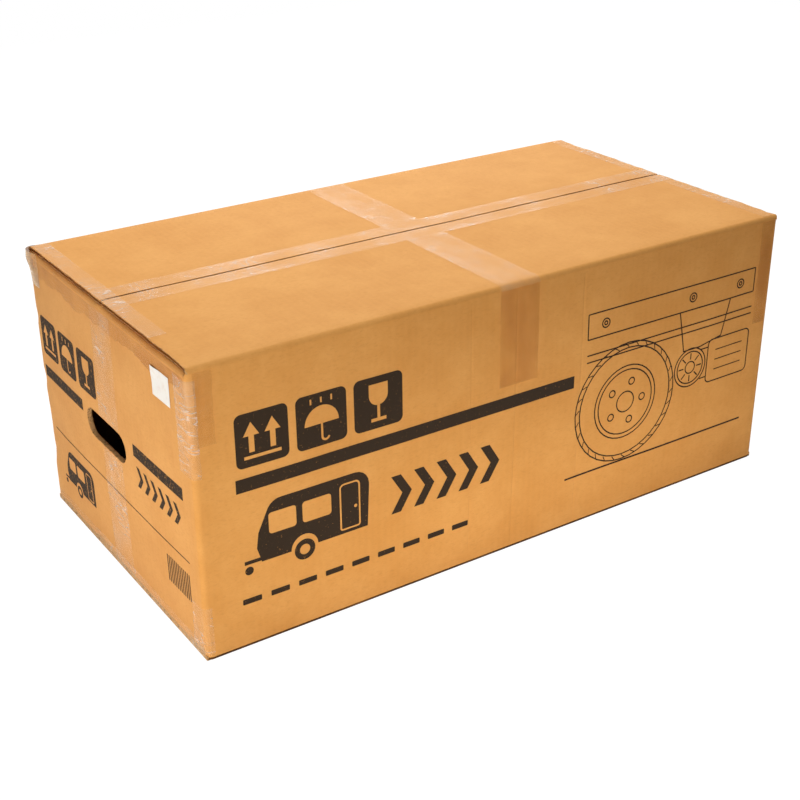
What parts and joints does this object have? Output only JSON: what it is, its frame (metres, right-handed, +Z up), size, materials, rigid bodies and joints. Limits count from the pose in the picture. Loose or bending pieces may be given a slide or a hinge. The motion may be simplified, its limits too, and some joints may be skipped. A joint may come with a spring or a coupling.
{
  "type": "caravan motor mover in carton",
  "caption": "Taped corrugated carton with hinged flaps and hand holes that holds mirrored roller drive units and cross tubes for moving a caravan.",
  "frame": {"origin": "centre of the carton bottom, on the floor", "axes": "+X along the carton with the pictured hand hole end at -X, printed front towards -Y, +Z up"},
  "size_m": [0.7204, 0.3764, 0.3022],
  "materials": {
    "kraft_board": "matte",
    "kraft_inside": "matte",
    "clear_tape": "gloss",
    "label_paper": "matte",
    "black_powder_coat": "satin",
    "zinc_plate": "satin",
    "cast_aluminium": "satin",
    "bare_aluminium": "satin",
    "gear_steel": "satin",
    "motor_black": "satin",
    "black_plastic": "matte"
  },
  "bodies": {
    "carton": {"front_panel": "kraft_board", "back_panel": "kraft_board", "left_end_panel": "kraft_board", "right_end_panel": "kraft_board", "bottom_inner_flap_left": "kraft_inside", "bottom_inner_flap_right": "kraft_inside", "bottom_outer_flap_front": "kraft_board", "bottom_outer_flap_back": "kraft_board", "carton_tape": "clear_tape", "bare_label": "label_paper", "base_pad": "kraft_inside", "cross_tube_front": "black_powder_coat", "cross_tube_back": "black_powder_coat", "left_side_plate_outer": "black_powder_coat", "left_side_plate_inner": "black_powder_coat", "left_beam_socket": "black_powder_coat", "left_return_spring": "zinc_plate", "right_side_plate_outer": "black_powder_coat", "right_side_plate_inner": "black_powder_coat", "right_beam_socket": "black_powder_coat", "right_return_spring": "zinc_plate"},
    "front_flap": {"top_outer_flap_front": "kraft_board", "front_flap_tape": "clear_tape"},
    "back_flap": {"top_outer_flap_back": "kraft_board", "back_flap_tape": "clear_tape"},
    "left_inner_flap": {"top_inner_flap_left": "kraft_inside"},
    "right_inner_flap": {"top_inner_flap_right": "kraft_inside"},
    "left_hand_flap": {"hand_flap_left": "kraft_inside"},
    "right_hand_flap": {"hand_flap_right": "kraft_inside"},
    "left_carriage_set": {"left_carriage": "black_powder_coat", "left_slide_bolts": "zinc_plate", "left_gear_case": "cast_aluminium", "left_case_cover": "cast_aluminium", "left_case_screws": "zinc_plate", "left_bearing_plate": "cast_aluminium", "left_motor": "motor_black", "left_motor_cover": "black_plastic", "left_motor_end_cap": "black_plastic"},
    "left_cam": {"left_cam_shaft": "zinc_plate"},
    "left_roller_set": {"left_roller": "bare_aluminium", "left_roller_shaft": "gear_steel", "left_roller_gear": "gear_steel"},
    "left_idler": {"left_idler_gear": "gear_steel"},
    "left_pinion": {"left_drive_pinion": "gear_steel"},
    "right_carriage_set": {"right_carriage": "black_powder_coat", "right_slide_bolts": "zinc_plate", "right_gear_case": "cast_aluminium", "right_case_cover": "cast_aluminium", "right_case_screws": "zinc_plate", "right_bearing_plate": "cast_aluminium", "right_motor": "motor_black", "right_motor_cover": "black_plastic", "right_motor_end_cap": "black_plastic"},
    "right_cam": {"right_cam_shaft": "zinc_plate"},
    "right_roller_set": {"right_roller": "bare_aluminium", "right_roller_shaft": "gear_steel", "right_roller_gear": "gear_steel"},
    "right_idler": {"right_idler_gear": "gear_steel"},
    "right_pinion": {"right_drive_pinion": "gear_steel"}
  },
  "joints": [
    {"name": "front_flap_fold", "type": "hinge", "parent": "carton", "child": "front_flap", "pos_m": [0, -0.188, 0.297], "axis": [1, 0, 0], "range_deg": [0, 178]},
    {"name": "back_flap_fold", "type": "hinge", "parent": "carton", "child": "back_flap", "pos_m": [0, 0.188, 0.297], "axis": [-1, 0, 0], "range_deg": [0, 178]},
    {"name": "left_inner_flap_fold", "type": "hinge", "parent": "carton", "child": "left_inner_flap", "pos_m": [-0.355, 0, 0.2917], "axis": [0, 1, 0], "range_deg": [0, 12]},
    {"name": "right_inner_flap_fold", "type": "hinge", "parent": "carton", "child": "right_inner_flap", "pos_m": [0.355, 0, 0.2917], "axis": [0, -1, 0], "range_deg": [0, 12]},
    {"name": "left_hand_flap_fold", "type": "hinge", "parent": "carton", "child": "left_hand_flap", "pos_m": [-0.355, 0.012, 0.17], "axis": [0, -1, 0], "range_deg": [-100, 70]},
    {"name": "right_hand_flap_fold", "type": "hinge", "parent": "carton", "child": "right_hand_flap", "pos_m": [0.355, 0.012, 0.17], "axis": [0, 1, 0], "range_deg": [-100, 70]},
    {"name": "left_engage_slide", "type": "slide", "parent": "carton", "child": "left_carriage_set", "axis": [1, 0, 0], "range_m": [0, 0.02], "stiffness_N_per_m": 1500, "deforming": ["left_return_spring"]},
    {"name": "left_cam_turn", "type": "hinge", "parent": "carton", "child": "left_cam", "pos_m": [-0.2275, -0.1075, 0.058], "axis": [0, 1, 0], "range_deg": [0, 90]},
    {"name": "left_roller_spin", "type": "hinge", "parent": "left_carriage_set", "child": "left_roller_set", "pos_m": [-0.0835, -0.102, 0.148], "axis": [0, 1, 0], "continuous": true},
    {"name": "left_idler_spin", "type": "hinge", "parent": "left_carriage_set", "child": "left_idler", "pos_m": [-0.15105, -0.015, 0.16637], "axis": [0, 1, 0], "continuous": true},
    {"name": "left_pinion_spin", "type": "hinge", "parent": "left_carriage_set", "child": "left_pinion", "pos_m": [-0.201, -0.015, 0.1685], "axis": [0, 1, 0], "continuous": true},
    {"name": "right_engage_slide", "type": "slide", "parent": "carton", "child": "right_carriage_set", "axis": [-1, 0, 0], "range_m": [0, 0.02], "stiffness_N_per_m": 1500, "deforming": ["right_return_spring"]},
    {"name": "right_cam_turn", "type": "hinge", "parent": "carton", "child": "right_cam", "pos_m": [0.2275, -0.1075, 0.058], "axis": [0, -1, 0], "range_deg": [0, 90]},
    {"name": "right_roller_spin", "type": "hinge", "parent": "right_carriage_set", "child": "right_roller_set", "pos_m": [0.0835, -0.102, 0.148], "axis": [0, 1, 0], "continuous": true},
    {"name": "right_idler_spin", "type": "hinge", "parent": "right_carriage_set", "child": "right_idler", "pos_m": [0.15105, -0.015, 0.16637], "axis": [0, 1, 0], "continuous": true},
    {"name": "right_pinion_spin", "type": "hinge", "parent": "right_carriage_set", "child": "right_pinion", "pos_m": [0.201, -0.015, 0.1685], "axis": [0, 1, 0], "continuous": true}
  ],
  "couplings": [
    {"joint": "left_cam_turn", "follows": "left_engage_slide", "rad_per_m": 78.54},
    {"joint": "left_idler_spin", "follows": "left_roller_spin", "ratio": -1.1875},
    {"joint": "left_pinion_spin", "follows": "left_roller_spin", "ratio": 2.1111},
    {"joint": "right_cam_turn", "follows": "right_engage_slide", "rad_per_m": 78.54},
    {"joint": "right_idler_spin", "follows": "right_roller_spin", "ratio": -1.1875},
    {"joint": "right_pinion_spin", "follows": "right_roller_spin", "ratio": 2.1111}
  ]
}
